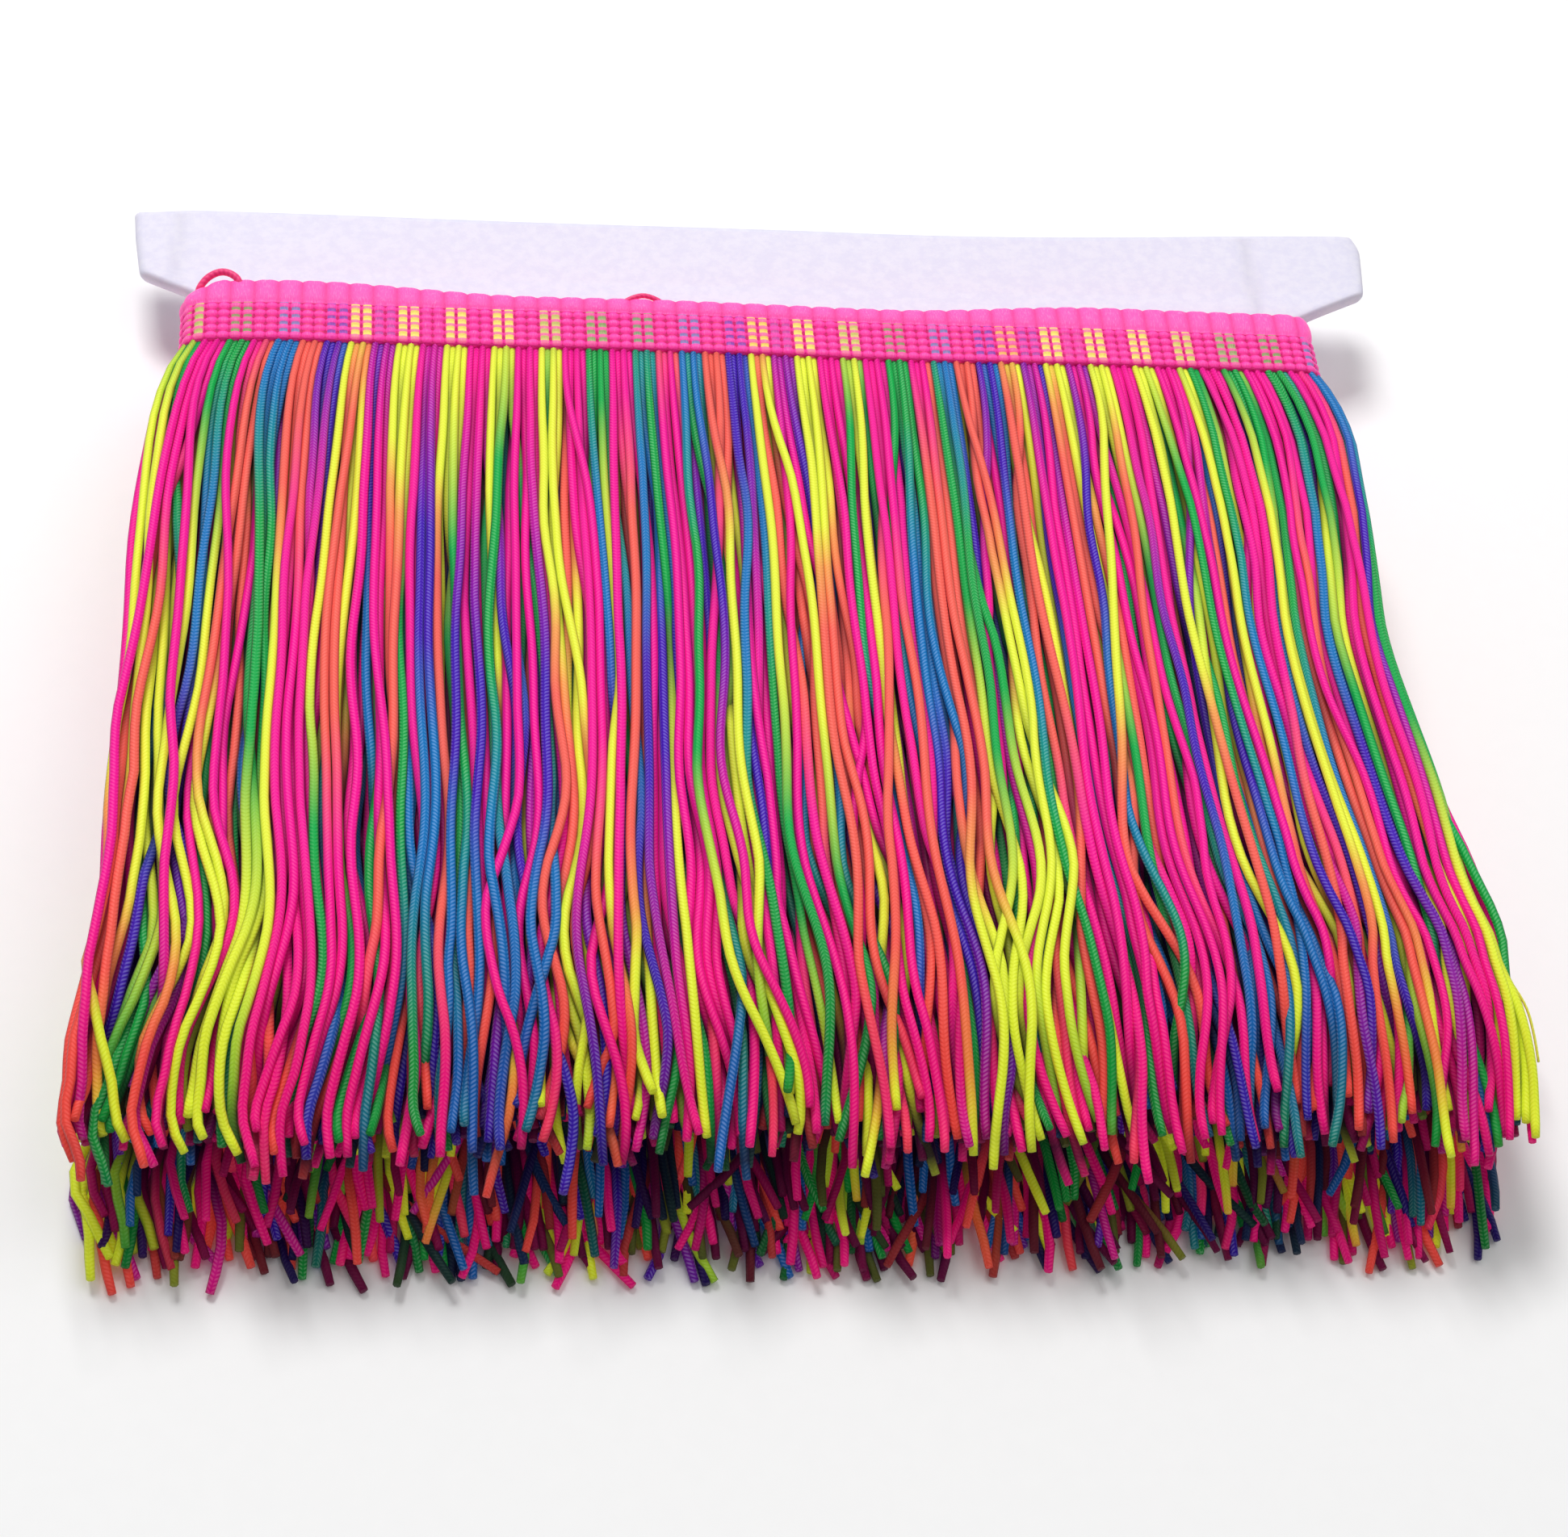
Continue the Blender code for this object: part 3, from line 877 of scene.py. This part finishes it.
def cords_over(x, z):
    """How many cords hide each place of each cord, from above or from the nearer side.

    At each ring the cords are put in order of x. A cord is hidden from above by those within
    about its own width in x that lie higher, and from a side by those further out that lie
    about as high. The least of the three sums counts.
    """
    order = np.argsort(x, axis=0)
    sx, sz = np.take_along_axis(x, order, 0), np.take_along_axis(z, order, 0)
    above, left, right = np.zeros_like(sx), np.zeros_like(sx), np.zeros_like(sx)
    compared, width, past = 64, 0.0010, (0.0003, 0.0011)
    for ahead in range(1, compared):
        dx = sx[ahead:] - sx[:-ahead]
        dz = sz[ahead:] - sz[:-ahead]
        near = np.clip(1.7 - dx / width, 0, 1)
        above[:-ahead] += near * ease(dz, *past)
        above[ahead:] += near * ease(-dz, *past)
        level = np.clip(1.7 - np.abs(dz) / width, 0, 1) * ease(dx, *past)
        right[:-ahead] += level
        left[ahead:] += level
    hidden = np.zeros_like(x)
    np.put_along_axis(hidden, order, np.minimum(above, np.minimum(left, right)), 0)
    return hidden


def cord_drops(settings, rng, height):
    """How far each cord hangs, by its root's height in the pile, from 0 to 1.

    The tips on top are drawn up, those inside lie back in a hollow, and some are cut shorter.
    """
    hollow = ease(height, 0.13, 0.25) * (1 - ease(height, 0.72, 0.88))
    drop = settings.cord_drop - settings.draw_up * height - HOLLOW_DEPTH * hollow
    drop = drop + rng.normal(0, 1, len(height)) * settings.uneven_cut
    cut_shorter = rng.random(len(height)) < 0.2 * height
    return np.clip(drop - 1.5 * settings.uneven_cut * cut_shorter, SHORTEST_DROP, LONGEST_DROP)


def drawn_in(x, walls):
    """Moves the outer cords in, the outermost most, until nearly all lie between the walls."""
    unmoved = 0.045
    for facing, wall in zip((-1, 1), walls):
        out = facing * x
        widest = np.quantile(out, 0.997, axis=0)
        too_far = np.clip(widest - facing * wall, 0, None)
        x = x - facing * too_far * np.clip((out - unmoved) / (widest - unmoved), 0, 1) ** 1.5
    return x


def lay_cords(settings, winding):
    """Every cord's rings of control points, radii and painted light, from root to tip, and its dye.

    A cord runs down from its place on the tape, with control points at the same distances
    below the heading for all cords. Sideways it moves by a fan that grows towards the ends of
    the roll, slow waves shared along a turn, waves of its group and its own waves. It sinks a
    little with the pile, its tip turns aside, and the pile is then settled apart. The cords
    on which others lie get painted shade, apart from some of the lower tips, which get painted
    light.
    """
    rng = np.random.default_rng(settings.seed)
    length, group, member = cord_roots(winding)
    count = len(length)
    turn = np.clip(np.searchsorted(winding.starts, length, side="right") - 1, 0, TURNS - 1)
    root_x, root_z, out_x, out_z = winding.at(length)
    root_x = root_x - out_x * ROOT_UNDER
    root_z = HALF_THICKNESS + root_z - out_z * ROOT_UNDER
    height = root_z / (2 * HALF_THICKNESS)
    side = root_x / (ROLL_LENGTH / 2)
    upper = root_z > HALF_THICKNESS
    drop = cord_drops(settings, rng, height)
    below = np.linspace(0, LONGEST_DROP + ROOT_INSIDE, CONTROL_RINGS)
    share = np.minimum(below / (drop[:, None] + ROOT_INSIDE), 1.05)
    y = LOWER_EDGE_Y + ROOT_INSIDE - below + 0 * share
    stagger = np.where(member % 2 == 0, 1.0, -1.0)[:, None] * (0.00016 + 0.00030 * ease(share, 0.0, 0.12))
    wavy = settings.waviness
    flare_root, flare_even, flare_tips = 0.0048, 0.0028, 0.0045
    flare = flare_root * (1 - np.exp(-share / 0.06)) + flare_even * share
    flare = flare + flare_tips * ease(share, 0.78, 1.0)
    fan_x = -0.0006 * share + 0.0014 * side[:, None] * share + (side**3)[:, None] * flare
    slow = 2 * np.pi * (share * 1.55 + root_x[:, None] / 0.074)
    x = root_x[:, None] + out_x[:, None] * stagger + fan_x + 0.0009 * wavy * share * np.sin(slow)
    along_turn = length[:, None] / 0.021 + turn[:, None] * 1.7
    x += 0.0006 * wavy * share**1.1 * np.sin(along_turn + share * 7.0)
    swept_at, swept_width, swept_by = 0.004, 0.022, 0.0052
    sweep = np.exp(-(((root_x - swept_at) / swept_width) ** 2)) * (height > 0.55)
    x += swept_by * wavy * sweep[:, None] * ease(share, 0.66, 1.0) * (1 - 0.3 * share)
    step = below[1]
    x += shared_waves(rng, group, share, 0.0008 * wavy, 0.5, 1.5) * share**0.9
    x += shared_waves(rng, group // 2, share, 0.0009 * wavy, 2.4, 3.8) * ease(share, 0.40, 0.90)
    x += kinked(rng, share, 0.026 * wavy, step) * ease(share, 0.0, 0.25)
    x += shared_waves(rng, np.arange(count), share, 0.00022 * wavy, 2.0, 4.5) * ease(share, 0.05, 0.3)
    stray = rng.random(count) < settings.stray_share
    stray_reach, hook_reach, droop, lean = 0.0075, 0.0009, 0.0060, 0.0012
    reach = rng.normal(0, stray_reach, count) * stray * np.clip(1.15 - np.abs(side), 0, 1)
    x += reach[:, None] * ease(share, rng.uniform(0.05, 0.45, count)[:, None], 1.0)
    hook_from = 1 - rng.uniform(0.05, 0.15, count)
    bent = np.where(rng.random(count) < 0.10 * (1 - upper), 2.6, 1.0)
    hook = rng.normal(0, hook_reach, count) * (1 + 1.2 * (1 - height)) * bent
    past = np.clip((share - hook_from[:, None]) / 0.1, 0, None)
    x += hook[:, None] * past**1.6
    z = (root_z[:, None] - HALF_THICKNESS) * (1 - 0.03 * share) + HALF_THICKNESS * (1 - 0.07 * share**1.5)
    z += out_z[:, None] * stagger
    z += shared_waves(rng, group, share, 0.00040, 0.5, 1.6) * share
    z += kinked(rng, share, 0.007, step) * ease(share, 0.0, 0.25)
    z += 0.0014 * stray[:, None] * np.sin(np.pi * share)
    z -= droop * height[:, None] ** 2 * ease(share, 0.84, 1.0) ** 1.5
    z += rng.normal(0, lean, count)[:, None] * past**1.5
    plump = 1 + rng.normal(0, 0.035, count)[:, None]
    radius = settings.cord_thickness / 2 * plump * (0.78 + 0.22 * ease(share, 0.0, 0.16))
    past_tip = below - step > drop[:, None] + ROOT_INSIDE
    freedom = ease(share, 0.0, 0.08)
    neck = (y > NECK_END_Y) & (np.abs(root_x[:, None]) < END_CENTRE_X + 0.002)
    spread_y, left, right = np.array(PILE_SPREAD).T
    walls = (-np.interp(-y, spread_y, left), np.interp(-y, spread_y, right))
    touching = np.where(past_tip, -radius, radius)
    x, z = settle_apart(drawn_in(x, walls), z, touching, freedom, neck, walls, SETTLING_ROUNDS)
    # Painted shade: the more cords hide a place, the darker it is painted.
    open_air = 1 / (1 + (cords_over(x, np.where(past_tip, -1.0, z)) / 1.5) ** 2.6)
    # Painted light on some of the lower tips, at random strengths, and most on the outermost.
    painted_tip_light = 0.16 + 0.87 * ease(rng.uniform(0, 1, count), 0.2, 0.75) + 0.3 * side**8
    painted_tip_share = ease(share, 0.87, 0.95) * (1 - ease(height, 0.3, 0.5))[:, None]
    open_air = open_air * (1 - painted_tip_share) + painted_tip_light[:, None] * painted_tip_share
    yarn_rng = np.random.default_rng(settings.seed + YARN_SEED)
    sign = np.where(yarn_rng.random(count) < 0.5, 1.0, -1.0)
    dye = group_dye(group) + yarn_rng.normal(0, DYE_JITTER, count)
    return {
        "rings": np.stack([x, y, z, radius, open_air], -1), "dye": dye[:, None], "sign": sign[:, None],
        "map_along": rng.uniform(0, 1, (count, 1)), "map_around": rng.uniform(0, 1, count),
        "turn": turn, "upper": upper, "drop": drop[:, None],
    }


def cord_detail(turn, upper):
    """Sides and rings of a half turn's cords: finest where the top of the pile shows."""
    if upper:
        return {6: (8, 48), 5: (7, 38), 4: (6, 30)}.get(turn, (5, 20))
    return {6: (7, 32), 5: (6, 28)}.get(turn, (5, 22))


def make_cords(settings):
    """Every cord of the roll, one joined piece for each half turn.

    A cord's rings lie closer together towards its tip, and its cut end is a little narrower.
    """
    cut_end = 0.86
    winding = Winding()
    laid = lay_cords(settings, winding)
    material = cord_finish(settings)
    nodes = {turn: node for node, first, last in CORD_NODES for turn in range(first, last + 1)}
    for turn in range(TURNS):
        for upper in (True, False):
            mine = (laid["turn"] == turn) & (laid["upper"] == upper)
            cords = {key: values[mine] for key, values in laid.items()}
            sides, rings = cord_detail(turn, upper)
            step = np.linspace(0, 1, rings)
            down = (0.62 * step + 0.38 * (1 - (1 - step) ** 2)) * (cords["drop"] + ROOT_INSIDE)
            laid_rings = smooth_through(cords["rings"], down / (LONGEST_DROP + ROOT_INSIDE))
            paths, radii, open_air = laid_rings[:, :, :3], laid_rings[:, :, 3], laid_rings[:, :, 4]
            radii[:, -1] *= cut_end
            paths[:, :, 2] = np.maximum(paths[:, :, 2], radii)
            dye = cords["dye"] + cords["sign"] * down / CORD_REPEAT
            numbers = {"dye": dye, "open_air": np.clip(open_air, 0, 1)}
            map_start = (cords["map_along"], cords["map_around"])
            name = f"cords_turn_{turn + 1}_" + ("upper" if upper else "lower")
            piece = tubes(name, material, paths, radii, sides, numbers, map_start)
            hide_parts(nodes[turn])


# The board


def make_board(settings):
    """The winding board: a soft flat board, narrow in the roll and wide past the heading.

    A section along X is a flat oval: a straight top and underside with round ends. Its half
    width goes from the neck's to the head's, its ends droop, and shallow creases cross it.
    """
    neck_half = END_CENTRE_X + BOARD_HALF
    past_edge = np.concatenate([
        np.linspace(-NECK_LENGTH, 0.0, 8), np.linspace(0.0012, 0.0165, 18),
        np.linspace(0.0169, 0.0191, 8), np.linspace(0.0200, 0.0325, 16), [0.03285, 0.033]])
    known = np.array([-NECK_LENGTH, 0.0025, 0.0175, 0.0181, 0.0188, 0.033])
    spread_at = np.interp(past_edge, known, [0.0, 0.0, 0.98, 0.996, 1.0, 1.0])
    wide = 140
    top = np.linspace(-1, 1, wide)
    ends = np.radians(np.linspace(90, -90, 9))[1:-1]
    flat_x = np.concatenate([top, np.ones(7), -top, -np.ones(7)])
    round_x = np.concatenate([np.zeros(wide), np.cos(ends), np.zeros(wide), -np.cos(ends)])
    round_z = np.concatenate([np.ones(wide), np.sin(ends), -np.ones(wide), -np.sin(ends)])
    spread = spread_at[:, None]
    y = BOARD_EDGE_Y + past_edge[:, None] + 0 * flat_x
    half = neck_half + (HEAD_HALF_WIDTH - neck_half) * spread - BOARD_HALF
    corner = ease(past_edge, 0.026, 0.033)[:, None]
    half = half - 0.0014 * corner**4 * (flat_x > 0) - 0.0003 * corner * (flat_x < 0)
    past_corner = np.clip((past_edge - 0.0175) / 0.0155, 0, 1)[:, None]
    left_lean = 0.0003 * spread + 0.0020 * past_corner
    right_lean = (0.0028 - 0.0022 * past_corner) * spread
    x = flat_x * half + 0.005 * spread
    x = x - left_lean * (1 - flat_x) / 2 - right_lean * (1 + flat_x) / 2
    rim = BOARD_HALF * np.where(past_edge > 0.0327, 0.55, 1.0)[:, None]
    crease_left, crease_right = (
        np.exp(-(((x - at - slant * (past_edge[:, None] - 0.02)) / 0.0012) ** 2))
        for at, slant in ((-0.1027, 0.05), (0.0945, 0.04)))
    # The crease numbers both dent the board's top and paint shade into its colour.
    crease = (0.9 * crease_left + 1.3 * crease_right) * ease(spread, 0.2, 0.8)
    crease = crease * (past_edge < 0.0322)[:, None]
    lifted = ease(past_edge, -0.002, 0.014)[:, None]
    bend = 0.0007 * ease(-x, 0.099, 0.1085) - 0.0042 * lifted * ease(x, 0.020, 0.125)
    bend = bend + 0.0009 * ease(x, 0.1125, 0.1185) ** 2
    wave = 0.00035 * np.sin(x / 0.017 + 0.6) * np.sin(y / 0.013) + 0.0003 * np.sin(x / 0.041 + 2.0)
    wave = wave * ease(past_edge, 0.002, 0.012)[:, None]
    z = HALF_THICKNESS - 0.0012 * spread - bend + wave
    x = x + round_x * rim
    z = z + round_z * rim - 0.00022 * crease * (round_z > 0.5)
    points = np.stack([x, y, z], -1)
    rows, columns = x.shape
    quads = closed_grid_faces(rows, columns)[:, ::-1]
    step = np.arange(wide - 1)
    below = 2 * wide + 6 - step
    cap = np.stack([step, step + 1, below - 1, below], -1)
    end = np.arange(wide - 1, wide + 7)
    right_end = np.stack([np.full(8, wide - 1), end, end + 1], -1)[1:]
    left_end = np.stack([np.full(8, 0), end + wide + 7, (end + wide + 8) % columns], -1)[:-1]
    round_ends = np.concatenate([right_end, left_end])
    last = (rows - 1) * columns
    quads = np.concatenate([quads, cap[:, ::-1], cap + last])
    # Painted shade over the curled right end is added to the creases' number.
    numbers = {"crease": (crease + 0.6 * ease(x, 0.113, 0.1185)).ravel()}
    piece = put_mesh(
        "foam_board", board_finish(settings), points.reshape(-1, 3), quads,
        np.concatenate([round_ends[:, ::-1], round_ends + last]), None, numbers)
    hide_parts("winding_board")


# Loose yarn


def make_loose_yarn(settings):
    """Two small loops of pink yarn on the finished edge, and a thin yellow tail at the tips."""
    pink = plain_yarn_finish("loose_pink_yarn", (0.92, 0.02, 0.19))
    yellow = plain_yarn_finish("loose_yellow_yarn", tuple(settings.lemon))
    loop = np.array([
        (-0.0972, 0.0010, 0.0262), (-0.0974, 0.0022, 0.0272), (-0.0964, 0.0038, 0.0281),
        (-0.0950, 0.0048, 0.0287), (-0.0934, 0.0051, 0.0291), (-0.0918, 0.0044, 0.0293),
        (-0.0906, 0.0032, 0.0290), (-0.0902, 0.0014, 0.0280)])
    arch = np.array([
        (-0.0262, 0.0003, 0.0284), (-0.0240, 0.0018, 0.0290), (-0.0215, 0.0025, 0.0293),
        (-0.0190, 0.0018, 0.0290), (-0.0170, 0.0003, 0.0284)])
    tail = np.array([
        (0.1095, -0.1200, 0.0125), (0.1122, -0.1255, 0.0120), (0.1143, -0.1302, 0.0112),
        (0.1150, -0.1345, 0.0101), (0.1152, -0.1390, 0.0088)])
    made = (
        ("heading_loop_left", pink, loop, 0.00062, 24),
        ("heading_loop_middle", pink, arch, 0.00045, 16),
        ("yarn_tail", yellow, tail, 0.00022, 16),
    )
    for name, material, path, radius, rings in made:
        points = smooth_through(path[None], np.linspace(0, 1, rings)[None])
        piece = tubes(name, material, points, np.full((1, rings), radius), 10)


# The stage


def photo_camera():
    """The camera at the photograph's angle: its axes come from azimuth, elevation and roll."""
    azimuth, elevation, roll = (math.radians(a) for a in (CAMERA_AZIMUTH, CAMERA_ELEVATION, CAMERA_ROLL))
    back = Vector((-math.sin(azimuth) * math.cos(elevation),
                   -math.cos(azimuth) * math.cos(elevation), math.sin(elevation)))
    right = (-back).cross(Vector((0, 0, 1))).normalized()
    up = right.cross(-back)
    turned_right = right * math.cos(roll) + up * math.sin(roll)
    turned_up = -right * math.sin(roll) + up * math.cos(roll)
    data = bpy.data.cameras.new("photo_camera")
    data.sensor_width = SENSOR_WIDTH
    data.lens = CAMERA_FOCAL / PHOTO_WIDTH * SENSOR_WIDTH
    data.clip_start = 0.01
    camera = put_object("photo_camera", data)
    axes = Matrix((turned_right, turned_up, back)).transposed().to_4x4()
    axes.translation = Vector(CAMERA_TARGET) + back * CAMERA_DISTANCE
    camera.matrix_world = axes
    bpy.context.scene.camera = camera


def soft_lamp(name, place, size, power):
    """A square lamp that faces the middle of the roll."""
    data = bpy.data.lights.new(name, "AREA")
    data.shape = "SQUARE"
    data.size = size
    data.energy = power
    lamp = put_object(name, data)
    towards = Vector(CAMERA_TARGET) - Vector(place)
    lamp.matrix_world = Matrix.Translation(place) @ towards.to_track_quat("-Z", "Y").to_matrix().to_4x4()


def make_stage():
    """A plain pale floor, soft lamps, pale surroundings and the photograph's camera."""
    scene = bpy.context.scene
    scene.view_settings.view_transform = "Standard"
    reach, under = 3, -0.0002
    corners = [(-reach, -reach, under), (reach, -reach, under), (reach, reach, under),
               (-reach, reach, under)]
    mesh = bpy.data.meshes.new("floor")
    mesh.from_pydata(corners, [], [(0, 1, 2, 3)])
    mesh.materials.append(floor_finish())
    floor = put_object("floor", mesh)
    soft_lamp("key_lamp", place=(-0.25, 0.58, 1.12), size=0.45, power=12.0)
    soft_lamp("fill_lamp", place=(0.55, 0.10, 1.25), size=0.9, power=3.4)
    world = bpy.data.worlds.new("pale_room")
    world.use_nodes = True
    background = world.node_tree.nodes["Background"]
    background.inputs["Color"].default_value = opaque((1.0, 1.0, 1.0))
    background.inputs["Strength"].default_value = 0.33
    scene.world = world
    photo_camera()


# Operators


class FRINGE_OT_stage(bpy.types.Operator):
    """Make the floor, the lamps and the camera"""

    bl_idname = "fringe_roll.stage"
    bl_label = "Stage"

    def execute(self, context):
        make_stage()
        return {"FINISHED"}


class FRINGE_OT_board(bpy.types.Operator):
    """Make the soft white board that the heading is wound on"""

    bl_idname = "fringe_roll.board"
    bl_label = "Winding board"

    def execute(self, context):
        make_board(context.scene.fringe_roll)
        return {"FINISHED"}


class FRINGE_OT_heading(bpy.types.Operator):
    """Weave the heading and wind it on the board"""

    bl_idname = "fringe_roll.heading"
    bl_label = "Woven heading"

    def execute(self, context):
        make_heading(context.scene.fringe_roll)
        return {"FINISHED"}


class FRINGE_OT_cords(bpy.types.Operator):
    """Hang the knitted cords from the heading and let them settle"""

    bl_idname = "fringe_roll.cords"
    bl_label = "Cords"

    def execute(self, context):
        make_cords(context.scene.fringe_roll)
        return {"FINISHED"}


class FRINGE_OT_loose_yarn(bpy.types.Operator):
    """Add the loose loops of the heading and the yarn tail"""

    bl_idname = "fringe_roll.loose_yarn"
    bl_label = "Loose yarn"

    def execute(self, context):
        make_loose_yarn(context.scene.fringe_roll)
        return {"FINISHED"}


class FRINGE_PT_roll(bpy.types.Panel):
    """The roll's settings, and a button for each of its pieces"""

    bl_idname = "FRINGE_PT_roll"
    bl_label = "Tassel Fringe Roll"
    bl_space_type = "VIEW_3D"
    bl_region_type = "UI"
    bl_category = "Trimmings"

    def draw(self, context):
        settings = context.scene.fringe_roll
        for name in FringeRollSettings.__annotations__:
            self.layout.prop(settings, name)
        for operator in OPERATORS:
            self.layout.operator(operator.bl_idname)


OPERATORS = (FRINGE_OT_stage, FRINGE_OT_board, FRINGE_OT_heading, FRINGE_OT_cords, FRINGE_OT_loose_yarn)
CLASSES = (FringeRollSettings, *OPERATORS, FRINGE_PT_roll)


def register():
    for cls in CLASSES:
        bpy.utils.register_class(cls)
    bpy.types.Scene.fringe_roll = PointerProperty(type=FringeRollSettings)


def unregister():
    del bpy.types.Scene.fringe_roll
    for cls in reversed(CLASSES):
        bpy.utils.unregister_class(cls)


def main():
    register()
    bpy.ops.fringe_roll.stage()
    bpy.ops.fringe_roll.board()
    bpy.ops.fringe_roll.heading()
    bpy.ops.fringe_roll.cords()
    bpy.ops.fringe_roll.loose_yarn()


if __name__ == "__main__":
    main()
